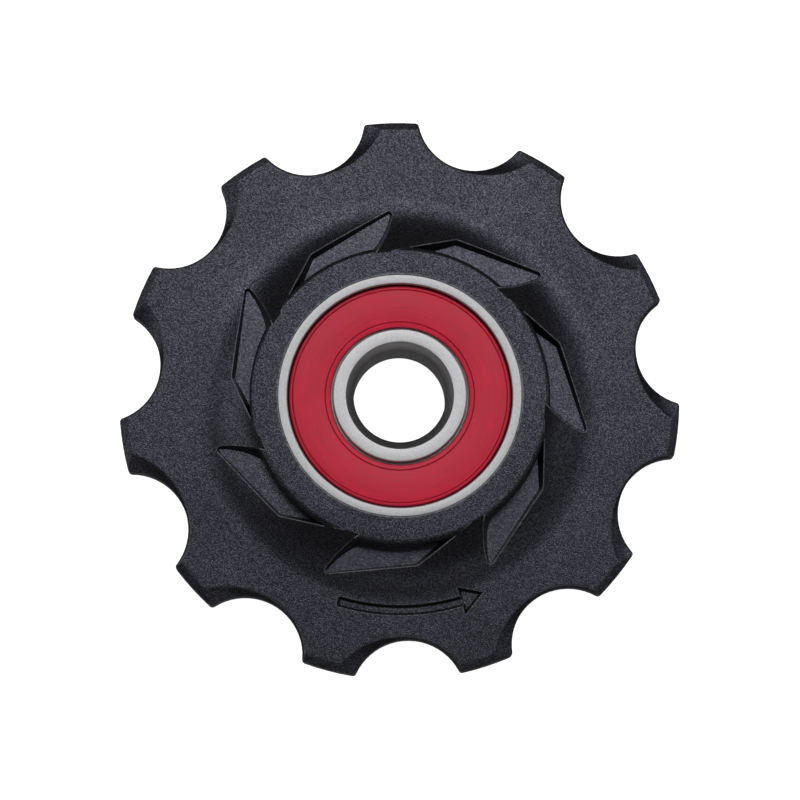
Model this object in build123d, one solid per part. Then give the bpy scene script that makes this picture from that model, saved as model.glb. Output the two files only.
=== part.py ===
from build123d import *
import os
from math import cos, pi, radians, sin, sqrt

# Derailleur jockey wheel: a toothed guide pulley, moulded in one piece, with a sealed ball bearing
# pressed into its hub. The axle lies along Z, the origin is on the axle at mid-width, and the front
# face looks along +Z. Seen from the front, the chain drives the wheel counter-clockwise.
# Lengths are in millimetres and angles in degrees.

# Chain and teeth
tooth_count = 11
chain_pitch = 12.7
roller_diameter = 7.75
roller_play = 0.95
root_drop = 0.29
tip_drop = 1.19
tip_corner_radius = 0.3
first_gap_angle = 9.9

# Toothed flange, bevelled on both faces down to a land at mid-width
flange_thickness = 2.1
rim_land = 1.4
tip_bevel = 0.6
flank_bevel = 0.17
leading_bevel_spread = 1.9
leading_bevel_start = -15.0
bevel_start = 80.0
bevel_end = 280.0
bevel_overrun = 0.2

# Hub, with a lip over the outer ring's chamfer, and the hollow slope from its crest down to the flange
hub_wall = 1.9
seat_lip_gap = 0.04
hub_edge_radius = 0.4
slope_run = 4.6

# Pockets cut into the slope on both faces, drawn at the flange's face from their outer tip round to
# their tail and heel under the hub. Their walls have draft. They lay the hub's side bare, under its
# rounded edge.
pocket_count = 7
first_pocket_angle = 40.5
pocket_floor_drop = 0.5
pocket_draft = 12.0
pocket_tip_reach = 3.25
pocket_bend_reach = 1.35
pocket_bend_angle = 29.7
pocket_run_under = 0.8
pocket_tail_angle = 50.9
pocket_tail_width = 0.15
pocket_heel_angle = 16.4
pocket_heel_bulge = 0.55
pocket_tip_radius = 0.25
pocket_bend_radius = 0.5

# Bearing rings
bearing_bore = 7.0
bearing_outside = 19.0
bearing_width = 6.0
outer_ring_chamfer = 0.3
bore_chamfer_width = 0.6
bore_chamfer_depth = 0.75
face_edge_chamfer = 0.08
inner_land_wall = 1.575
outer_land_wall = 0.98
race_depth = 0.75

# Balls and their cage
ball_count = 7
first_ball_angle = 12.0
ball_diameter = 3.572
ball_play = 0.02
race_conformity = 0.52
cage_pocket_play = 0.04
cage_side_gap = 0.2
cage_seal_gap = 0.1
claw_reach = 0.95
claw_slot_width = 0.9
claw_slot_depth = 1.7

# Seals, held in a groove of the outer ring and running just clear of the inner ring
seal_recess = 0.45
seal_thickness = 0.3
seal_bead = 0.2
seal_bead_play = 0.02
seal_lip_gap = 0.17
seal_rim_width = 0.33
seal_rim_drop = 0.14
seal_line_width = 0.1
seal_line_depth = 0.1
seal_lip_width = 0.36
seal_lip_drop = 0.07

# Sizes that follow from the chain and the teeth
pitch_radius = chain_pitch / (2 * sin(pi / tooth_count))
root_radius = pitch_radius - roller_diameter / 2 - root_drop
gap_radius = (roller_diameter + roller_play) / 2
gap_centre = root_radius + gap_radius
tip_radius = pitch_radius - tip_drop
flange_top = flange_thickness / 2
land_top = rim_land / 2

# Sizes that follow from the bearing
half_width = bearing_width / 2
seat_radius = bearing_outside / 2
hub_radius = seat_radius + hub_wall
crest_radius = hub_radius - hub_edge_radius
slope_foot = crest_radius + slope_run
bore_radius = bearing_bore / 2
ball_radius = ball_diameter / 2
ball_circle = (bore_radius + seat_radius) / 2
groove_radius = race_conformity * ball_diameter
inner_race = ball_circle - ball_radius - ball_play
outer_race = ball_circle + ball_radius + ball_play
inner_shoulder = inner_race + race_depth
outer_shoulder = outer_race - race_depth
race_half_width = sqrt(groove_radius**2 - (groove_radius - race_depth) ** 2)
inner_land = bore_radius + inner_land_wall
outer_land = seat_radius - outer_land_wall
seal_top = half_width - seal_recess
seal_bottom = seal_top - seal_thickness


def polar(radius, angle):
    """Point at a radius and an angle round the axle."""
    return (radius * cos(radians(angle)), radius * sin(radians(angle)))


def turned(profile):
    """Solid of revolution about the axle, from a closed profile of radius against height."""
    return revolve(Plane.XZ * make_face(profile), Axis.Z)


def turned_both_ways(upper):
    """Solid of revolution from the upper half of a profile that is the same below mid-width."""
    return turned(upper + [mirror(edge, about=Plane.XZ) for edge in upper])


def both_faces(shape):
    """A shape of the front face, and its mirror image for the back face."""
    return [shape, mirror(shape, about=Plane.XY)]


def round_the_axle(shapes, count, first_angle):
    """Copies of shapes, evenly spaced round the axle."""
    return [place * shape for place in PolarLocations(0, count, first_angle) for shape in shapes]


def wheel_blank():
    """Hub, slope and flange as one turned blank, its rim bevelled to the land."""
    lip_foot = half_width - outer_ring_chamfer
    lip_edge = seat_radius - outer_ring_chamfer + seat_lip_gap
    return turned_both_ways([
        Line((seat_radius, 0), (seat_radius, lip_foot)),
        Line((seat_radius, lip_foot), (lip_edge, half_width)),
        Line((lip_edge, half_width), (crest_radius, half_width)),
        TangentArc((slope_foot, flange_top), (crest_radius, half_width), tangent=(-1, 0)),
        Line((slope_foot, flange_top), (tip_radius - tip_bevel, flange_top)),
        Line((tip_radius - tip_bevel, flange_top), (tip_radius, land_top)),
        Line((tip_radius, land_top), (tip_radius, 0)),
    ])


def toothed_outline():
    """Plan of the teeth: the tip circle less a round gap for each chain roller, tip corners eased."""
    gaps = round_the_axle([Pos(gap_centre, 0) * Circle(gap_radius)], tooth_count, first_gap_angle)
    outline = Circle(tip_radius) - gaps
    return fillet(outline.vertices(), tip_corner_radius)


def bevel_section(share):
    """Outline of the gap's bevels at a share of the way from the land to the flange face.

    A narrow arc follows the trailing flank. A wider one, tangent to it near the gap's root, follows
    the leading flank. Both end outside the teeth.
    """
    narrow = gap_radius + share * flank_bevel
    wide = narrow + share * leading_bevel_spread
    shift = polar(share * leading_bevel_spread, leading_bevel_start)
    join = 180 + leading_bevel_start
    trailing = CenterArc((gap_centre, 0), narrow, bevel_start, join - bevel_start)
    leading = CenterArc((gap_centre + shift[0], shift[1]), wide, join, bevel_end - join)
    outline = make_face([trailing, leading, Line(leading @ 1, trailing @ 0)])
    return Pos(0, 0, land_top + share * (flange_top - land_top)) * outline


def gap_bevel():
    """Cutter for the bevels of one gap on the front face, with the gap at angle zero."""
    return loft([bevel_section(-bevel_overrun), bevel_section(1 + bevel_overrun)], ruled=True)


def pocket_room():
    """Space of one pocket of the front face, with its tip at angle zero, running in under the hub's side."""
    tip = polar(hub_radius + pocket_tip_reach, 0)
    bend = polar(hub_radius + pocket_bend_reach, pocket_bend_angle)
    under = hub_radius - pocket_run_under
    tail = polar(under + pocket_tail_width, pocket_tail_angle)
    inner = CenterArc((0, 0), under, pocket_heel_angle, pocket_tail_angle - pocket_heel_angle)
    plan = make_face([
        Line(tip, bend),
        Line(bend, tail),
        Line(tail, inner @ 1),
        inner,
        SagittaArc(inner @ 0, tip, -pocket_heel_bulge),
    ])
    plan = fillet(plan.vertices().sort_by_distance(bend)[0], pocket_bend_radius)
    plan = fillet(plan.vertices().sort_by_distance(tip)[0], pocket_tip_radius)
    sunk = extrude(plan, -pocket_floor_drop, taper=pocket_draft)
    open_above = extrude(plan, half_width, taper=-pocket_draft)
    return Pos(0, 0, flange_top) * (sunk + open_above)


def bare_hub():
    """The hub's side and rounded edge, as far as one pocket lays them bare."""
    hub = Cylinder(hub_radius, bearing_width)
    hub = fillet(hub.edges().filter_by(GeomType.CIRCLE), hub_edge_radius)
    return hub & pocket_room()


def pulley_body():
    """The moulded wheel."""
    teeth = extrude(toothed_outline(), half_width, both=True)
    body = wheel_blank() & teeth
    body -= round_the_axle(both_faces(gap_bevel()), tooth_count, first_gap_angle)
    body -= round_the_axle(both_faces(pocket_room()), pocket_count, first_pocket_angle)
    body += round_the_axle(both_faces(bare_hub()), pocket_count, first_pocket_angle)
    return body


def bearing_outer_ring():
    """Outer ring, with its race and the two grooves that hold the seals."""
    groove = outer_land + seal_bead
    face = half_width - face_edge_chamfer
    return turned_both_ways([
        *Polyline(
            (seat_radius, 0),
            (seat_radius, half_width - outer_ring_chamfer),
            (seat_radius - outer_ring_chamfer, half_width),
            (outer_land + face_edge_chamfer, half_width),
            (outer_land, face),
            (outer_land, seal_top),
            (groove, seal_top),
            (groove, seal_bottom),
            (outer_shoulder, seal_bottom),
            (outer_shoulder, race_half_width),
        ).edges(),
        TangentArc((outer_race, 0), (outer_shoulder, race_half_width), tangent=(0, 1)),
    ])


def bearing_inner_ring():
    """Inner ring, with the axle bore, its race and a step at each face for the seal's lip."""
    step = seal_bottom - seal_lip_gap
    return turned_both_ways([
        *Polyline(
            (bore_radius, 0),
            (bore_radius, half_width - bore_chamfer_depth),
            (bore_radius + bore_chamfer_width, half_width),
            (inner_land - face_edge_chamfer, half_width),
            (inner_land, half_width - face_edge_chamfer),
            (inner_land, step),
            (inner_shoulder, step),
            (inner_shoulder, race_half_width),
        ).edges(),
        TangentArc((inner_race, 0), (inner_shoulder, race_half_width), tangent=(0, 1)),
    ])


def seal_line(radius):
    """Fine groove in a seal's face, as the points of a V from one radius outwards."""
    return [
        (radius, seal_top),
        (radius + seal_line_width / 2, seal_top - seal_line_depth),
        (radius + seal_line_width, seal_top),
    ]


def front_seal():
    """Seal with a thin lip at the inner ring, a flat face between two fine lines, and a rounded rim."""
    lip = inner_land + seal_lip_gap
    bead_edge = outer_land + seal_bead - seal_bead_play
    bead_top = seal_top - seal_rim_drop
    rim_start = outer_land - seal_rim_width
    return turned([
        *Polyline(
            (bead_edge, bead_top),
            (bead_edge, seal_bottom),
            (lip, seal_bottom),
            (lip, seal_top - seal_lip_drop),
            *seal_line(lip + seal_lip_width),
            *seal_line(rim_start - seal_line_width),
        ).edges(),
        TangentArc((rim_start, seal_top), (outer_land, bead_top), tangent=(1, 0)),
        Line((outer_land, bead_top), (bead_edge, bead_top)),
    ])


def ball(angle):
    """One ball, on the circle midway between the races."""
    return Pos(*polar(ball_circle, angle), 0) * Sphere(ball_radius)


def ball_cage():
    """One-piece crown cage: a ring behind the balls with a pair of claws round each of them."""
    back = cage_seal_gap - seal_bottom
    inner = inner_shoulder + cage_side_gap
    outer = outer_shoulder - cage_side_gap
    section = Polyline((inner, back), (outer, back), (outer, claw_reach), (inner, claw_reach), close=True)
    ball_room = Pos(ball_circle, 0) * Sphere(ball_radius + cage_pocket_play)
    outwards = (Align.MIN, Align.CENTER, Align.CENTER)
    slot = Box(bearing_outside, claw_slot_width, 2 * claw_slot_depth, align=outwards)
    claw_slot = Pos(0, 0, claw_reach) * slot
    cage = turned(section.edges())
    cage -= round_the_axle([ball_room], ball_count, first_ball_angle)
    cage -= round_the_axle([claw_slot], ball_count, first_ball_angle + 180 / ball_count)
    return cage


pieces = {
    "pulley_body": pulley_body(),
    "bearing_outer_ring": bearing_outer_ring(),
    "bearing_inner_ring": bearing_inner_ring(),
    "front_seal": front_seal(),
    "rear_seal": mirror(front_seal(), about=Plane.XY),
    "ball_cage": ball_cage(),
}
for number in range(ball_count):
    pieces[f"ball_{number + 1}"] = ball(first_ball_angle + number * 360 / ball_count)

os.makedirs("parts", exist_ok=True)
for name, shape in pieces.items():
    export_step(shape, f"parts/{name}.step")
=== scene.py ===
"""Derailleur jockey wheel: the looks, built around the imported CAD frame.

Lengths in the classes below are millimetres, angles are degrees and lamps are in watts. Meshes are in metres,
in the frame's own axes: the axle lies along Z, the origin is on it at mid-width, and the front face looks
along +Z.
"""

from __future__ import annotations

import logging
import math
from dataclasses import dataclass
from enum import Enum
from typing import Optional, Sequence

import bmesh
import bpy
from mathutils import Matrix, Vector

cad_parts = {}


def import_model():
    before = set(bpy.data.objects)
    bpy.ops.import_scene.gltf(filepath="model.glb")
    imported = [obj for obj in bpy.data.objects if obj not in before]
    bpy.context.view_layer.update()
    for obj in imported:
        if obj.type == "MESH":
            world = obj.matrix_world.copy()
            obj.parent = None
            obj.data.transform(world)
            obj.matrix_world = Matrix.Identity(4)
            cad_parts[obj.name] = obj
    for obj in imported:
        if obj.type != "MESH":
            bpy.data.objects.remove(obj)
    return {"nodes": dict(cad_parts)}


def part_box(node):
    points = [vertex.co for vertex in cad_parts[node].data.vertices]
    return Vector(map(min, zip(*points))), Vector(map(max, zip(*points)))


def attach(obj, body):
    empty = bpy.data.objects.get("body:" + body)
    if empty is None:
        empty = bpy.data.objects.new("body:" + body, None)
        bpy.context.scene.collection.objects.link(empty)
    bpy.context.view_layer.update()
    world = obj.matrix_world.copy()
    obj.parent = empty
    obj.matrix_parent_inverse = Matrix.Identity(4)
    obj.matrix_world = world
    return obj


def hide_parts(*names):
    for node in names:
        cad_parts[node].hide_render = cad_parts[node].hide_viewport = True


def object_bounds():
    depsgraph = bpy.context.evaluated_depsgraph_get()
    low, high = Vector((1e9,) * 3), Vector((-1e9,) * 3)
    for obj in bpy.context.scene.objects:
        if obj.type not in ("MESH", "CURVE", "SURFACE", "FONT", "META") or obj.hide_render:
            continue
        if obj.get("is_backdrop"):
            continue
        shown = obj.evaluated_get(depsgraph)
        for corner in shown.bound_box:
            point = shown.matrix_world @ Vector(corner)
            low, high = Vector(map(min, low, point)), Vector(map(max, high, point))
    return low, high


LOG = logging.getLogger("jockey_wheel")

# One millimetre, and the distance at which two vertices become one, in metres
MM = 0.001
MERGE_DISTANCE = 1e-7

# Where two surfaces of a solid meet at more than this angle, in degrees, they keep a crease
CREASE_ANGLE = 6.0

# Whole range of a share, and the range that holds most of a noise's values
UNIT = (0.0, 1.0)
NOISE_SPREAD = (0.3, 0.7)

Colour = tuple[float, float, float]
Span = tuple[float, float]


class Body(str, Enum):
    """Bodies of the frame."""

    WHEEL = "wheel"
    INNER_RING = "inner_ring"
    BALL_SET = "ball_set"


class Slot(str, Enum):
    """Material slots of the record."""

    POLYMER = "pulley_polymer"
    STEEL = "bearing_steel"
    RUBBER = "seal_rubber"
    NYLON = "cage_nylon"
    CERAMIC = "ball_ceramic"


class NodeSheet:
    """A material's node tree, with its Principled shader and millimetre coordinates ready to use."""

    # Rays that look for edges and corners, and how open the surface is to them: flat, then at the edge
    PROBE_RAYS = 8
    EDGE_OPENNESS: Span = (0.97, 0.62)
    CORNER_OPENNESS: Span = (0.85, 0.5)

    def __init__(self, name: str) -> None:
        """Starts an empty material.

        Args:
            name: The material's name.
        """
        self.material = bpy.data.materials.new(name)
        self.material.use_nodes = True
        self.tree = self.material.node_tree
        self.tree.nodes.clear()
        self.shader = self.add("ShaderNodeBsdfPrincipled")
        output = self.add("ShaderNodeOutputMaterial")
        self.join(self.shader.outputs["BSDF"], output.inputs["Surface"])
        place = self.add("ShaderNodeTexCoord")
        millimetres = self.add("ShaderNodeMapping", Scale=(1 / MM, 1 / MM, 1 / MM))
        self.join(place.outputs["Object"], millimetres.inputs["Vector"])
        self.millimetres = millimetres.outputs["Vector"]

    def add(self, kind: str, settings: Optional[dict] = None, **inputs: object) -> bpy.types.ShaderNode:
        """Adds a node.

        Args:
            kind: The node's type.
            settings: Values for the node's own properties.
            inputs: Values for its sockets, by name, with underscores for spaces.

        Returns:
            The new node.
        """
        node = self.tree.nodes.new(kind)
        for name, value in (settings or {}).items():
            setattr(node, name, value)
        for name, value in inputs.items():
            node.inputs[name.replace("_", " ")].default_value = value
        return node

    def join(self, source: bpy.types.NodeSocket, target: bpy.types.NodeSocket) -> None:
        """Links one socket to another."""
        self.tree.links.new(source, target)

    def feed(self, name: str, source: bpy.types.NodeSocket) -> None:
        """Links a socket to one of the shader's inputs, by name."""
        self.join(source, self.shader.inputs[name])

    def set(self, **inputs: object) -> None:
        """Sets the shader's own sockets, by name, with underscores for spaces."""
        for name, value in inputs.items():
            self.shader.inputs[name.replace("_", " ")].default_value = value

    def noise(self, size: float, detail: float,
              vector: Optional[bpy.types.NodeSocket] = None) -> bpy.types.NodeSocket:
        """Noise of a given feature size.

        Args:
            size: Feature size in millimetres.
            detail: Octaves of finer noise.
            vector: Coordinates, or the piece's own in millimetres.

        Returns:
            The noise's value, about one half on average.
        """
        node = self.add("ShaderNodeTexNoise", Scale=1 / size, Detail=detail)
        self.join(vector or self.millimetres, node.inputs["Vector"])
        return node.outputs["Fac"]

    def granules(self, size: float) -> tuple[bpy.types.NodeSocket, bpy.types.NodeSocket]:
        """Irregular granules of a given size.

        Args:
            size: A granule's size in millimetres.

        Returns:
            A value from 0 to 1 that each granule has of its own, and the distance from its middle.
        """
        node = self.add("ShaderNodeTexVoronoi", Scale=1 / size)
        self.join(self.millimetres, node.inputs["Vector"])
        parts = self.add("ShaderNodeSeparateColor")
        self.join(node.outputs["Color"], parts.inputs["Color"])
        return parts.outputs["Red"], node.outputs["Distance"]

    def math(self, operation: str, first: object, second: object = 0.0) -> bpy.types.NodeSocket:
        """A sum on sockets or numbers.

        Args:
            operation: The Math node's operation.
            first: A socket or a number.
            second: A socket or a number.

        Returns:
            The result.
        """
        node = self.add("ShaderNodeMath", {"operation": operation})
        for socket, value in zip(node.inputs, (first, second)):
            if isinstance(value, bpy.types.NodeSocket):
                self.join(value, socket)
            else:
                socket.default_value = value
        return node.outputs["Value"]

    def weighed(self, first: bpy.types.NodeSocket, second: bpy.types.NodeSocket,
                share: float) -> bpy.types.NodeSocket:
        """Two values added by their shares.

        Args:
            first: The first value.
            second: The second value.
            share: The first one's share. The second has what is left of 1.

        Returns:
            The result.
        """
        parts = [self.math("MULTIPLY", first, share), self.math("MULTIPLY", second, 1 - share)]
        return self.math("ADD", *parts)

    def ranged(self, value: bpy.types.NodeSocket, source: Sequence[float],
               target: Sequence[float]) -> bpy.types.NodeSocket:
        """A value carried from one range to another, and held at its ends.

        Args:
            value: The value's socket.
            source: Lowest and highest value.
            target: What they become.

        Returns:
            The result.
        """
        node = self.add("ShaderNodeMapRange", From_Min=source[0], From_Max=source[1], To_Min=target[0],
                        To_Max=target[1])
        self.join(value, node.inputs["Value"])
        return node.outputs["Result"]

    def blended(self, share: bpy.types.NodeSocket, low: Colour | bpy.types.NodeSocket,
                high: Colour) -> bpy.types.NodeSocket:
        """A colour between two.

        Args:
            share: Share of the second colour, from 0 to 1.
            low: Colour at 0, or a socket that gives it.
            high: Colour at 1.

        Returns:
            The colour.
        """
        node = self.add("ShaderNodeMix", {"data_type": "RGBA"})
        under, over = [socket for socket in node.inputs if socket.type == "RGBA"]
        if isinstance(low, bpy.types.NodeSocket):
            self.join(low, under)
        else:
            under.default_value = (*low, 1.0)
        over.default_value = (*high, 1.0)
        self.join(share, node.inputs["Factor"])
        return next(socket for socket in node.outputs if socket.type == "RGBA")

    def axle_distance(self) -> bpy.types.NodeSocket:
        """Distance from the axle.

        Returns:
            The distance, in millimetres.
        """
        parts = self.add("ShaderNodeSeparateXYZ")
        self.join(self.millimetres, parts.inputs["Vector"])
        squares = [self.math("MULTIPLY", parts.outputs[axis], parts.outputs[axis]) for axis in "XY"]
        return self.math("SQRT", self.math("ADD", *squares))

    def ring_coordinates(self, along: float) -> bpy.types.NodeSocket:
        """Coordinates that run round the axle, so that a pattern on them turns into rings.

        Args:
            along: Length of a streak, in millimetres for each millimetre of its width.

        Returns:
            Coordinates of radius, arc and height.
        """
        parts = self.add("ShaderNodeSeparateXYZ")
        self.join(self.millimetres, parts.inputs["Vector"])
        radius = self.axle_distance()
        angle = self.math("ARCTAN2", parts.outputs["Y"], parts.outputs["X"])
        arc = self.math("DIVIDE", self.math("MULTIPLY", angle, radius), along)
        joined = self.add("ShaderNodeCombineXYZ")
        for name, value in zip("XYZ", (radius, arc, parts.outputs["Z"])):
            self.join(value, joined.inputs[name])
        return joined.outputs["Vector"]

    def outer_edges(self, reach: float) -> bpy.types.NodeSocket:
        """Share of an outer edge at a point of the surface.

        Args:
            reach: How far from the edge it reaches, in millimetres.

        Returns:
            A value from 0, on the open surface or in an inner corner, to 1 at a sharp outer edge.
        """
        settings = {"inside": True, "only_local": True, "samples": self.PROBE_RAYS}
        node = self.add("ShaderNodeAmbientOcclusion", settings, Distance=reach * MM)
        return self.ranged(node.outputs["AO"], self.EDGE_OPENNESS, UNIT)

    def inner_corners(self, reach: float) -> bpy.types.NodeSocket:
        """Share of a corner with another surface at a point of the surface.

        Args:
            reach: How far from the corner it reaches, in millimetres.

        Returns:
            A value from 0, on the open surface, to 1 deep in a corner.
        """
        node = self.add("ShaderNodeAmbientOcclusion", {"samples": self.PROBE_RAYS}, Distance=reach * MM)
        return self.ranged(node.outputs["AO"], self.CORNER_OPENNESS, UNIT)

    def rough_surface(self, height: bpy.types.NodeSocket, depth: float,
                      edge_round: Optional[bpy.types.NodeSocket] = None) -> None:
        """Gives the shader a bumped normal, over softened edges if asked for.

        Args:
            height: The bump's height, from 0 to 1.
            depth: Its depth in millimetres.
            edge_round: Radius of the softened edges, in metres.
        """
        bump = self.add("ShaderNodeBump", Strength=1.0, Distance=depth * MM)
        self.join(height, bump.inputs["Height"])
        if edge_round is not None:
            softened = self.add("ShaderNodeBevel", {"samples": self.PROBE_RAYS})
            self.join(edge_round, softened.inputs["Radius"])
            self.join(softened.outputs["Normal"], bump.inputs["Normal"])
        self.feed("Normal", bump.outputs["Normal"])


@dataclass(frozen=True)
class PolymerFinish:
    """Black fibre-filled polymer from a spark-eroded mould."""

    name: str
    dark: Colour = (0.0055, 0.0055, 0.0062)
    light: Colour = (0.016, 0.016, 0.0185)
    # Colour that the outer edges are drawn towards: partly wear, partly a painted highlight
    edge_wear_and_highlight: Colour = (0.26, 0.26, 0.28)
    sheen: Colour = (0.78, 0.80, 1.0)
    ior: float = 1.5
    roughness: Span = (0.22, 0.30)
    gloss: Span = (0.23, 1.21)
    grain_size: float = 0.064
    grain_depth: float = 0.005
    grain_contrast: float = 2.0
    cloud_size: float = 5.0
    cloud_detail: float = 3.0
    cloud_strength: float = 0.06
    edge_rounds: Span = (0.06, 0.2)
    rim_zone: Span = (17.2, 17.7)
    wear_and_highlight_reach: float = 0.09
    wear_and_highlight_spread: Span = (0.3, 1.0)
    # Painted shade in inner corners: how far it reaches, and the gloss left deep in a corner
    corner_reach: float = 0.09
    shaded_corner_gloss: float = 0.1

    def material(self) -> bpy.types.Material:
        """Builds the grained material, with painted shade in the corners, edges worn and painted lighter as a
        highlight, and softer edges round the rim.

        Returns:
            The material.
        """
        sheet = NodeSheet(self.name)
        tone, dome = sheet.granules(self.grain_size)
        cloud = sheet.noise(self.cloud_size, self.cloud_detail)
        drift = sheet.ranged(cloud, NOISE_SPREAD, (-self.cloud_strength, self.cloud_strength))
        mottled = sheet.ranged(sheet.math("ADD", tone, drift), UNIT, UNIT)
        sparkle = sheet.math("POWER", mottled, self.grain_contrast)
        moulded = sheet.blended(sparkle, self.dark, self.light)
        # Outer edges painted lighter: partly wear, partly a painted highlight
        patchy_wear_and_highlight = sheet.ranged(tone, UNIT, self.wear_and_highlight_spread)
        wear_and_highlight = sheet.math("MULTIPLY", sheet.outer_edges(self.wear_and_highlight_reach), patchy_wear_and_highlight)
        sheet.feed("Base Color", sheet.blended(wear_and_highlight, moulded, self.edge_wear_and_highlight))
        sheet.feed("Roughness", sheet.ranged(sparkle, UNIT, self.roughness[::-1]))
        glossy = sheet.ranged(sparkle, UNIT, self.gloss)
        # Painted shade: the gloss is cut in inner corners, so they turn darker where shade falls
        corner_shade = sheet.ranged(sheet.inner_corners(self.corner_reach), UNIT, (1.0, self.shaded_corner_gloss))
        sheet.set(IOR=self.ior, Specular_Tint=(*self.sheen, 1.0), Specular_IOR_Level=sum(self.gloss) / 2)
        sheet.feed("Specular IOR Level", sheet.math("MULTIPLY", glossy, corner_shade))
        rounds = [radius * MM for radius in self.edge_rounds]
        softness = sheet.ranged(sheet.axle_distance(), self.rim_zone, rounds)
        sheet.rough_surface(dome, self.grain_depth, softness)
        return sheet.material


@dataclass(frozen=True)
class SteelFinish:
    """Bearing steel with a ground, satin face."""

    name: str
    dark: Colour = (0.51, 0.51, 0.52)
    light: Colour = (0.73, 0.73, 0.74)
    # Colour of the outer edges: polished steel, lighter also as a painted highlight
    edge: Colour = (0.95, 0.95, 0.94)
    # Painted shade in inner corners, such as the ring's side wall by the seal
    painted_shade: Colour = (0.05, 0.045, 0.045)
    roughness: Span = (0.44, 0.54)
    speck_size: float = 0.06
    speck_share: float = 0.75
    speck_depth: float = 0.004
    streak_size: float = 0.12
    streak_detail: float = 2.0
    streak_length: float = 30.0
    edge_reach: float = 0.08
    edge_polish: float = 0.6
    # How far the painted shade reaches from a corner
    painted_shade_reach: float = 0.2

    def material(self) -> bpy.types.Material:
        """Builds the ground material, with polished edges painted lighter as a highlight, and painted shade
        in the corners.

        Returns:
            The material.
        """
        sheet = NodeSheet(self.name)
        specks, dome = sheet.granules(self.speck_size)
        rings = sheet.noise(self.streak_size, self.streak_detail, sheet.ring_coordinates(self.streak_length))
        streaks = sheet.ranged(rings, NOISE_SPREAD, UNIT)
        mixed = sheet.weighed(specks, streaks, self.speck_share)
        edges = sheet.outer_edges(self.edge_reach)
        ground = sheet.blended(mixed, self.dark, self.light)
        # Outer edges painted lighter: polished steel and a painted highlight
        edge_wear_and_highlight = sheet.blended(edges, ground, self.edge)
        # Painted shade: inner corners darkened towards this colour
        sheet.feed("Base Color", sheet.blended(sheet.inner_corners(self.painted_shade_reach), edge_wear_and_highlight, self.painted_shade))
        matt = sheet.ranged(mixed, UNIT, self.roughness)
        polish = sheet.ranged(edges, UNIT, (1.0, self.edge_polish))
        sheet.feed("Roughness", sheet.math("MULTIPLY", matt, polish))
        sheet.set(Metallic=1.0)
        sheet.rough_surface(dome, self.speck_depth)
        return sheet.material


@dataclass(frozen=True)
class RubberFinish:
    """Smooth red seal rubber with faint circular polish marks."""

    name: str
    dark: Colour = (0.74, 0.0105, 0.049)
    light: Colour = (0.91, 0.018, 0.066)
    # Painted shade where the seal meets the rings
    painted_shade: Colour = (0.05, 0.004, 0.007)
    roughness: Span = (0.36, 0.48)
    gloss: float = 0.36
    detail: float = 2.0
    streak_size: float = 0.16
    streak_length: float = 26.0
    streak_share: float = 0.5
    cloud_size: float = 3.0
    mottle_spread: Span = (0.35, 0.65)
    bump_depth: float = 0.008
    # Reach of the painted shade, and its share in the seal's grooves
    painted_shade_reach: float = 0.35
    groove_shade: float = 0.5
    outer_rim: Span = (8.2, 8.3)
    inner_rim: Span = (5.55, 5.45)

    def material(self) -> bpy.types.Material:
        """Builds the rubber material, with painted shade along both rings and less of it in the grooves.

        Returns:
            The material.
        """
        sheet = NodeSheet(self.name)
        streaks = sheet.noise(self.streak_size, self.detail, sheet.ring_coordinates(self.streak_length))
        cloud = sheet.noise(self.cloud_size, self.detail)
        mottle = sheet.weighed(streaks, cloud, self.streak_share)
        unshaded = sheet.blended(sheet.ranged(mottle, self.mottle_spread, UNIT), self.dark, self.light)
        distance = sheet.axle_distance()
        shares = (self.groove_shade, 1.0)
        rims = [sheet.ranged(distance, rim, shares) for rim in (self.outer_rim, self.inner_rim)]
        # Painted shade: the seal darkens in the corners by both rings, less in the grooves
        corners = sheet.inner_corners(self.painted_shade_reach)
        rim_shade = sheet.math("MULTIPLY", corners, sheet.math("MAXIMUM", *rims))
        sheet.feed("Base Color", sheet.blended(rim_shade, unshaded, self.painted_shade))
        sheet.feed("Roughness", sheet.ranged(mottle, self.mottle_spread, self.roughness))
        sheet.set(Specular_IOR_Level=self.gloss)
        sheet.rough_surface(streaks, self.bump_depth)
        return sheet.material


@dataclass(frozen=True)
class InnerFinish:
    """Finish of the pieces inside the bearing: moulded cage or polished balls."""

    name: str
    dark: Colour
    light: Colour
    roughness: Span
    mottle_size: float
    bump_depth: float
    mottle_detail: float = 3.0
    subsurface: float = 0.0
    subsurface_depth: float = 1.0

    def material(self) -> bpy.types.Material:
        """Builds the mottled material.

        Returns:
            The material.
        """
        sheet = NodeSheet(self.name)
        mottle = sheet.noise(self.mottle_size, self.mottle_detail)
        share = sheet.ranged(mottle, NOISE_SPREAD, UNIT)
        sheet.feed("Base Color", sheet.blended(share, self.dark, self.light))
        sheet.feed("Roughness", sheet.ranged(mottle, NOISE_SPREAD, self.roughness))
        if self.subsurface > 0:
            sheet.set(Subsurface_Weight=self.subsurface, Subsurface_Scale=self.subsurface_depth * MM)
        sheet.rough_surface(mottle, self.bump_depth)
        return sheet.material


def radius_of(point: Vector) -> float:
    """Distance of a point from the axle, in metres."""
    return math.hypot(point.x, point.y)


def axle_point(radius: float, angle: float, height: float) -> Vector:
    """A point round the axle, in metres, from millimetres and degrees."""
    turn = math.radians(angle)
    return Vector((radius * math.cos(turn), radius * math.sin(turn), height)) * MM


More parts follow.
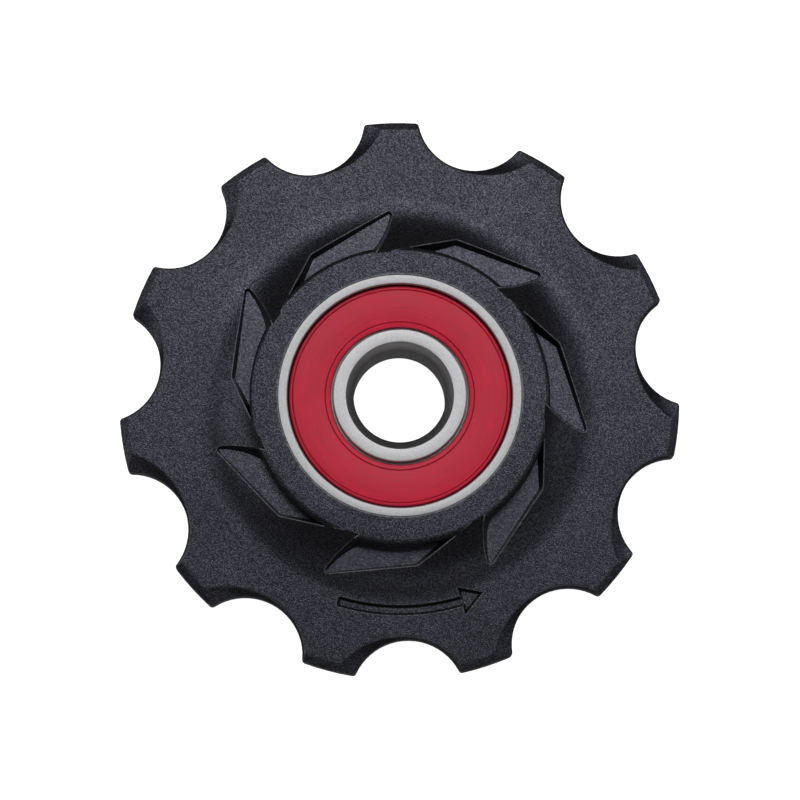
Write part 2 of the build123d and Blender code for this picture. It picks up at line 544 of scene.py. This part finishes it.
def merged_copy(node: bpy.types.Object) -> bmesh.types.BMesh:
    """A CAD node's mesh with its triangles joined up, shaded smooth but for the solid's own creases.

    Args:
        node: The CAD node.

    Returns:
        The new bmesh. Two faces meet in a crease where their own surfaces' normals differ.
    """
    crease = math.radians(CREASE_ANGLE)
    bm = bmesh.new()
    bm.from_mesh(node.data)
    normal = bm.loops.layers.float_vector.new("surface_normal")
    corners = iter(node.data.corner_normals)
    for face in bm.faces:
        face.smooth = True
        for loop in face.loops:
            loop[normal] = next(corners).vector
    bmesh.ops.remove_doubles(bm, verts=bm.verts, dist=MERGE_DISTANCE)
    for edge in bm.edges:
        for vert in edge.verts:
            sides = [loop[normal] for loop in vert.link_loops if loop.face in edge.link_faces[:]]
            if len(sides) == 2 and Vector(sides[0]).angle(Vector(sides[1]), 0.0) > crease:
                edge.smooth = False
    bm.loops.layers.float_vector.remove(normal)
    return bm


def new_piece(name: str, bm: bmesh.types.BMesh, materials: Sequence[bpy.types.Material]) -> bpy.types.Object:
    """Makes an object at the origin from a bmesh, which is freed.

    Args:
        name: The object's name.
        bm: Its shape, in metres.
        materials: Its material slots.

    Returns:
        The object.
    """
    mesh = bpy.data.meshes.new(name)
    bm.to_mesh(mesh)
    bm.free()
    for material in materials:
        mesh.materials.append(material)
    piece = bpy.data.objects.new(name, mesh)
    bpy.context.scene.collection.objects.link(piece)
    return piece


def even_normals(piece: bpy.types.Object) -> None:
    """Lets a piece's normals follow its larger faces, with its hard edges kept."""
    even = piece.modifiers.new("even_normals", "WEIGHTED_NORMAL")
    even.keep_sharp = True


def apply_modifiers(piece: bpy.types.Object) -> None:
    """Puts a piece's modifiers into its mesh.

    Args:
        piece: The piece, which is left with no modifier.
    """
    depsgraph = bpy.context.evaluated_depsgraph_get()
    made = bpy.data.meshes.new_from_object(piece.evaluated_get(depsgraph))
    piece.modifiers.clear()
    piece.data = made


def seat(piece: bpy.types.Object, body: Body, node: str) -> None:
    """Puts a piece in the place of a CAD node.

    Args:
        piece: The finished piece.
        body: The body that it moves with.
        node: The node that it stands for.
    """
    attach(piece, body.value)
    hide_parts(node)


@dataclass(frozen=True)
class TravelArrow:
    """Curved arrow, sunk into the front of the flange, that shows which way the wheel turns."""

    mid_radius: float = 16.15
    tail_angle: float = 253.0
    neck_angle: float = 286.8
    tip_angle: float = 293.3
    tip_radius: float = 16.07
    shaft_width: float = 0.8
    barb_radii: Span = (15.04, 17.22)
    tail_round: float = 0.2
    round_segments: int = 5
    depth: float = 0.45
    wall_run: float = 0.2
    arc_steps: int = 28

    def outline(self, height: float) -> list[Vector]:
        """The arrow's outline, from its tail's outer corner round to its inner one.

        Args:
            height: Height of the outline above mid-width.

        Returns:
            The outline's points, in metres.
        """
        span = self.neck_angle - self.tail_angle
        angles = [self.tail_angle + span * step / self.arc_steps for step in range(self.arc_steps + 1)]
        outer = [axle_point(self.mid_radius + self.shaft_width / 2, angle, height) for angle in angles]
        inner = [axle_point(self.mid_radius - self.shaft_width / 2, angle, height) for angle in angles]
        head = [
            axle_point(self.barb_radii[1], self.neck_angle, height),
            axle_point(self.tip_radius, self.tip_angle, height),
            axle_point(self.barb_radii[0], self.neck_angle, height),
        ]
        return outer + head + inner[::-1]

    def cutter(self, face_height: float) -> bpy.types.Object:
        """The solid that sinks the arrow into the flange, with sloping walls.

        Args:
            face_height: Height of the flange's face, in millimetres.

        Returns:
            The cutter's object.
        """
        bm = bmesh.new()
        verts = [bm.verts.new(point) for point in self.outline(face_height)]
        bm.faces.new(verts)
        bmesh.ops.bevel(bm, geom=[verts[0], verts[-1]], offset=self.tail_round * MM, offset_type="OFFSET",
                        segments=self.round_segments, profile=0.5, affect="VERTICES", clamp_overlap=True,
                        material=-1)
        bmesh.ops.recalc_face_normals(bm, faces=bm.faces)
        if any(face.normal.z < 0 for face in bm.faces):
            bmesh.ops.reverse_faces(bm, faces=bm.faces[:])
        bmesh.ops.inset_region(bm, faces=bm.faces[:], thickness=self.wall_run * MM, depth=-self.depth * MM,
                               use_boundary=True, use_even_offset=True)
        rim = [edge for edge in bm.edges if edge.is_boundary]
        raised = bmesh.ops.extrude_edge_only(bm, edges=rim)
        lifted = [item for item in raised["geom"] if isinstance(item, bmesh.types.BMVert)]
        bmesh.ops.translate(bm, verts=lifted, vec=(0, 0, self.depth * MM))
        bmesh.ops.holes_fill(bm, edges=[edge for edge in bm.edges if edge.is_boundary], sides=0)
        bmesh.ops.recalc_face_normals(bm, faces=bm.faces)
        return new_piece("travel_arrow_cutter", bm, [])


@dataclass
class PulleyWheel:
    """The moulded wheel: its grained faces, its smoother pocket floors and the sunk arrow."""

    node: bpy.types.Object
    grained: PolymerFinish = PolymerFinish("grained_polymer")
    smooth: PolymerFinish = PolymerFinish("smooth_polymer", roughness=(0.18, 0.25), gloss=(0.38, 1.45),
                                          grain_depth=0.004)
    arrow: TravelArrow = TravelArrow()
    floor_step: float = 0.05
    floor_level: float = 0.99
    hard_angle: float = 50.0
    tip_zone: float = 20.7
    tip_slants: Span = (20.0, 40.0)
    tip_ease: float = 0.5

    def face_height(self) -> float:
        """Height of the toothed flange's face, in millimetres."""
        outside = self.arrow.barb_radii[1] * MM
        return max(vert.co.z for vert in self.node.data.vertices if radius_of(vert.co) > outside) / MM

    def engrave(self, piece: bpy.types.Object) -> None:
        """Sinks the arrow into the front face.

        Args:
            piece: The wheel.
        """
        cutter = self.arrow.cutter(self.face_height())
        cut = piece.modifiers.new("arrow", "BOOLEAN")
        cut.operation = "DIFFERENCE"
        cut.solver = "EXACT"
        cut.object = cutter
        apply_modifiers(piece)
        bpy.data.objects.remove(cutter)

    def dress(self, piece: bpy.types.Object) -> None:
        """Gives the pocket floors, inside the arrow's circle, the smooth finish, and the walls hard edges.

        Args:
            piece: The wheel.
        """
        below = (self.face_height() - self.floor_step) * MM
        inside = self.arrow.barb_radii[0] * MM
        hard = math.radians(self.hard_angle)
        bm = bmesh.new()
        bm.from_mesh(piece.data)
        for face in bm.faces:
            face.smooth = True
            middle = face.calc_center_median()
            level = abs(face.normal.z) > self.floor_level
            sunken = abs(middle.z) < below and radius_of(middle) < inside
            face.material_index = 1 if level and sunken else 0
        for edge in bm.edges:
            if edge.calc_face_angle(0.0) > hard:
                edge.smooth = False
        bm.to_mesh(piece.data)
        bm.free()

    def ease_tips(self, piece: bpy.types.Object) -> None:
        """Leans the normals of the tooth tips' bevels towards the flat faces, as on a softly moulded edge.

        Args:
            piece: The wheel.
        """
        mesh = piece.data
        normals = [Vector(corner.vector) for corner in mesh.corner_normals]
        for face in mesh.polygons:
            slant = math.degrees(math.acos(min(1.0, abs(face.normal.z))))
            bevelled = self.tip_slants[0] < slant < self.tip_slants[1]
            if bevelled and radius_of(face.center) > self.tip_zone * MM:
                level = Vector((0.0, 0.0, math.copysign(1.0, face.normal.z)))
                eased = face.normal.lerp(level, self.tip_ease).normalized()
                for corner in face.loop_indices:
                    normals[corner] = eased
        mesh.normals_split_custom_set(normals)

    def build(self) -> bpy.types.Object:
        """Builds, dresses and seats the wheel.

        Returns:
            The wheel.
        """
        piece = new_piece("toothed_wheel", merged_copy(self.node), [])
        self.engrave(piece)
        for finish in (self.grained, self.smooth):
            piece.data.materials.append(finish.material())
        self.dress(piece)
        even_normals(piece)
        apply_modifiers(piece)
        self.ease_tips(piece)
        seat(piece, Body.WHEEL, self.node.name)
        return piece


@dataclass
class TurnedPiece:
    """A ring or seal, turned again from its CAD node's own section with finely eased corners."""

    node: bpy.types.Object
    name: str
    body: Body
    slot: Slot
    corner_ease: float
    corner_angle: float = 25.0
    ease_segments: int = 3
    steps: int = 240
    hard_angle: float = 40.0
    bore_turn: float = 0.6

    def section(self) -> bmesh.types.BMesh:
        """The node's section on one side of the axle.

        Returns:
            A bmesh with one loop of edges.
        """
        bm = merged_copy(self.node)
        bmesh.ops.bisect_plane(bm, geom=bm.verts[:] + bm.edges[:] + bm.faces[:], dist=MERGE_DISTANCE,
                               plane_co=(0, 0, 0), plane_no=(0, 1, 0), clear_inner=True, clear_outer=True)
        far_side = [vert for vert in bm.verts if vert.co.x < 0]
        bmesh.ops.delete(bm, geom=far_side, context="VERTS")
        return bm

    def ease_corners(self, bm: bmesh.types.BMesh) -> None:
        """Rounds the section's corners.

        Args:
            bm: The section.
        """
        sharp = math.radians(self.corner_angle)
        bmesh.ops.contextual_create(bm, geom=bm.edges[:])
        corners = [vert for vert in bm.verts if vert.calc_edge_angle(0.0) > sharp]
        bmesh.ops.bevel(bm, geom=corners, offset=self.corner_ease * MM, offset_type="OFFSET",
                        segments=self.ease_segments, profile=0.5, affect="VERTICES", clamp_overlap=True,
                        material=-1)
        bmesh.ops.delete(bm, geom=bm.faces[:], context="FACES_ONLY")

    def turn(self, bm: bmesh.types.BMesh) -> None:
        """Spins the section into a closed ring.

        Args:
            bm: The section.
        """
        bmesh.ops.spin(bm, geom=bm.verts[:] + bm.edges[:], cent=(0, 0, 0), axis=(0, 0, 1), dvec=(0, 0, 0),
                       angle=2 * math.pi, steps=self.steps, use_merge=True, use_duplicate=False)
        bmesh.ops.remove_doubles(bm, verts=bm.verts, dist=MERGE_DISTANCE)
        bmesh.ops.recalc_face_normals(bm, faces=bm.faces)

    def build(self, material: bpy.types.Material,
              bore: Optional[bpy.types.Material] = None) -> bpy.types.Object:
        """Turns, dresses and seats the piece.

        Args:
            material: Its finish.
            bore: Finish of the surfaces that face the axle, where it is another one.

        Returns:
            The piece.
        """
        bm = self.section()
        self.ease_corners(bm)
        self.turn(bm)
        hard = math.radians(self.hard_angle)
        for face in bm.faces:
            face.smooth = True
            middle = face.calc_center_median()
            inward = -face.normal.dot(Vector((middle.x, middle.y, 0.0)).normalized())
            face.material_index = 1 if bore is not None and inward > self.bore_turn else 0
        for edge in bm.edges:
            edge.smooth = edge.calc_face_angle(0.0) < hard
        piece = new_piece(self.name, bm, [material] if bore is None else [material, bore])
        even_normals(piece)
        seat(piece, self.body, self.node.name)
        return piece


@dataclass
class BallBearing:
    """The sealed bearing: two rings, two seals, and the balls in their cage."""

    nodes: dict[str, bpy.types.Object]
    outer_steel: SteelFinish = SteelFinish("outer_ring_steel", dark=(0.45, 0.45, 0.46),
                                           light=(0.67, 0.67, 0.68))
    inner_steel: SteelFinish = SteelFinish("inner_ring_steel")
    bore_steel: SteelFinish = SteelFinish("bore_steel", dark=(0.45, 0.44, 0.44), light=(0.58, 0.57, 0.57),
                                          roughness=(0.28, 0.36), speck_share=0.3)
    rubber: RubberFinish = RubberFinish("red_seal_rubber")
    nylon: InnerFinish = InnerFinish("natural_nylon", dark=(0.56, 0.52, 0.40), light=(0.68, 0.64, 0.52),
                                     roughness=(0.38, 0.5), mottle_size=0.8, bump_depth=0.01, subsurface=0.15)
    ceramic: InnerFinish = InnerFinish("polished_ceramic", dark=(0.045, 0.046, 0.05),
                                       light=(0.06, 0.061, 0.066), roughness=(0.06, 0.1), mottle_size=0.3,
                                       bump_depth=0.0005)
    ring_ease: float = 0.03
    seal_ease: float = 0.025
    ball_segments: int = 48

    def rings(self) -> list[bpy.types.Object]:
        """Turns the two rings.

        Returns:
            The outer ring and the inner one.
        """
        outer = TurnedPiece(self.nodes["bearing_outer_ring"], "outer_race_ring", Body.WHEEL, Slot.STEEL,
                            self.ring_ease)
        inner = TurnedPiece(self.nodes["bearing_inner_ring"], "inner_race_ring", Body.INNER_RING, Slot.STEEL,
                            self.ring_ease)
        return [
            outer.build(self.outer_steel.material()),
            inner.build(self.inner_steel.material(), self.bore_steel.material()),
        ]

    def seals(self) -> list[bpy.types.Object]:
        """Turns the two seals.

        Returns:
            The front seal and the rear one.
        """
        material = self.rubber.material()
        pieces = []
        for side in ("front", "rear"):
            seal = TurnedPiece(self.nodes[f"{side}_seal"], f"{side}_seal_disc", Body.WHEEL, Slot.RUBBER,
                               self.seal_ease)
            pieces.append(seal.build(material))
        return pieces

    def cage(self) -> bpy.types.Object:
        """Dresses the crown cage.

        Returns:
            The cage.
        """
        node = self.nodes["ball_cage"]
        piece = new_piece("crown_cage", merged_copy(node), [self.nylon.material()])
        seat(piece, Body.BALL_SET, node.name)
        return piece

    def balls(self) -> list[bpy.types.Object]:
        """Makes the balls, each where its CAD node is.

        Returns:
            The balls.
        """
        material = self.ceramic.material()
        names = sorted(name for name in self.nodes if name.startswith("ball_") and name != "ball_cage")
        pieces = []
        for name in names:
            low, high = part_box(name)
            bm = bmesh.new()
            bmesh.ops.create_uvsphere(bm, u_segments=self.ball_segments, v_segments=self.ball_segments // 2,
                                      radius=(high - low).z / 2)
            bmesh.ops.translate(bm, verts=bm.verts, vec=(low + high) / 2)
            for face in bm.faces:
                face.smooth = True
            piece = new_piece(f"ceramic_{name}", bm, [material])
            seat(piece, Body.BALL_SET, name)
            pieces.append(piece)
        return pieces

    def build(self) -> list[bpy.types.Object]:
        """Builds the whole bearing, and gives its pieces."""
        return [*self.rings(), *self.seals(), self.cage(), *self.balls()]


@dataclass(frozen=True)
class Softbox:
    """A rectangular studio light."""

    name: str
    place: tuple[float, float, float]
    width: float
    height: float
    power: float

    def build(self) -> None:
        """Hangs the light, aimed at the wheel."""
        lamp = bpy.data.lights.new(self.name, "AREA")
        lamp.shape = "RECTANGLE"
        lamp.size = self.width * MM
        lamp.size_y = self.height * MM
        lamp.energy = self.power
        light = bpy.data.objects.new(self.name, lamp)
        light.location = Vector(self.place) * MM
        light.rotation_euler = (-light.location).to_track_quat("-Z", "Y").to_euler()
        bpy.context.scene.collection.objects.link(light)


@dataclass(frozen=True)
class Viewpoint:
    """The photograph's camera, above the front face and leaning towards the wheel's lower edge."""

    distance: float = 335.0
    lean: float = 7.05
    roll: float = 0.90
    aside: float = 0.046
    lens: float = 197.48
    sensor: float = 36.0
    nearest: float = 10.0

    def build(self) -> None:
        """Sets up the scene's camera."""
        lean = math.radians(self.lean)
        roll = math.radians(self.roll)
        right = Vector((math.cos(roll), 0.0, math.sin(roll)))
        up = Vector((-math.sin(roll) * math.sin(lean), math.cos(lean), math.cos(roll) * math.sin(lean)))
        back = right.cross(up)
        lens = bpy.data.cameras.new("viewpoint")
        lens.lens = self.lens
        lens.sensor_width = self.sensor
        lens.clip_start = self.nearest * MM
        camera = bpy.data.objects.new("viewpoint", lens)
        place = Matrix.Translation((back * self.distance + right * self.aside) * MM)
        camera.matrix_world = place @ Matrix((right, up, back)).transposed().to_4x4()
        bpy.context.scene.collection.objects.link(camera)
        bpy.context.scene.camera = camera


@dataclass(frozen=True)
class Studio:
    """Pale floor, soft light and the camera."""

    floor_height: float
    floor_side: float = 6000.0
    floor_colour: Colour = (0.9, 0.9, 0.9)
    floor_roughness: float = 0.9
    floor_glow: float = 0.97
    glow_colour: Colour = (1.0, 1.0, 1.0)
    sky: float = 0.10
    ground: float = 0.09
    horizon: Span = (-0.15, 0.25)
    softboxes: tuple[Softbox, ...] = (
        Softbox("top_softbox", (10.0, 202.5, 565.0), 560.0, 297.0, 1.19),
        Softbox("left_softbox", (-473.0, 30.0, 369.0), 390.0, 437.0, 0.56),
        Softbox("right_softbox", (473.0, 30.0, 369.0), 390.0, 437.0, 0.22),
        Softbox("front_softbox", (90.0, -240.0, 550.0), 480.0, 260.0, 0.135),
    )
    viewpoint: Viewpoint = Viewpoint()

    def floor(self) -> None:
        """Lays the floor under the wheel. It glows, and mirrors don't see it."""
        bm = bmesh.new()
        bmesh.ops.create_grid(bm, x_segments=1, y_segments=1, size=self.floor_side / 2 * MM)
        bmesh.ops.translate(bm, verts=bm.verts, vec=(0, 0, self.floor_height * MM))
        sheet = NodeSheet("pale_floor")
        sheet.set(Base_Color=(*self.floor_colour, 1.0), Roughness=self.floor_roughness)
        sheet.set(Specular_IOR_Level=0.0)
        sheet.set(Emission_Color=(*self.glow_colour, 1.0), Emission_Strength=self.floor_glow)
        plane = new_piece("floor", bm, [sheet.material])
        plane.visible_glossy = False
        plane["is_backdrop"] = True

    def surroundings(self) -> None:
        """Soft grey surroundings, a little darker below the horizon."""
        world = bpy.data.worlds.new("studio")
        world.use_nodes = True
        tree = world.node_tree
        tree.nodes.clear()
        place = tree.nodes.new("ShaderNodeTexCoord")
        parts = tree.nodes.new("ShaderNodeSeparateXYZ")
        level = tree.nodes.new("ShaderNodeMapRange")
        ends = (*self.horizon, self.ground, self.sky)
        for name, value in zip(("From Min", "From Max", "To Min", "To Max"), ends):
            level.inputs[name].default_value = value
        shade = tree.nodes.new("ShaderNodeBackground")
        output = tree.nodes.new("ShaderNodeOutputWorld")
        tree.links.new(place.outputs["Generated"], parts.inputs["Vector"])
        tree.links.new(parts.outputs["Z"], level.inputs["Value"])
        tree.links.new(level.outputs["Result"], shade.inputs["Strength"])
        tree.links.new(shade.outputs["Background"], output.inputs["Surface"])
        bpy.context.scene.world = world

    def build(self) -> None:
        """Sets the whole studio up."""
        bpy.context.scene.view_settings.view_transform = "Standard"
        self.floor()
        self.surroundings()
        for softbox in self.softboxes:
            softbox.build()
        self.viewpoint.build()


def main() -> None:
    """Builds the wheel around the frame, and the studio round it."""
    logging.basicConfig(level=logging.INFO, format="%(name)s: %(message)s")
    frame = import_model()
    cad_low, cad_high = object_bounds()
    nodes = frame["nodes"]
    pieces = [PulleyWheel(nodes["pulley_body"]).build(), *BallBearing(nodes).build()]
    for piece in pieces:
        LOG.info("%s: %d faces", piece.name, len(piece.data.polygons))
    Studio(floor_height=cad_low.z / MM).build()


if __name__ == "__main__":
    main()
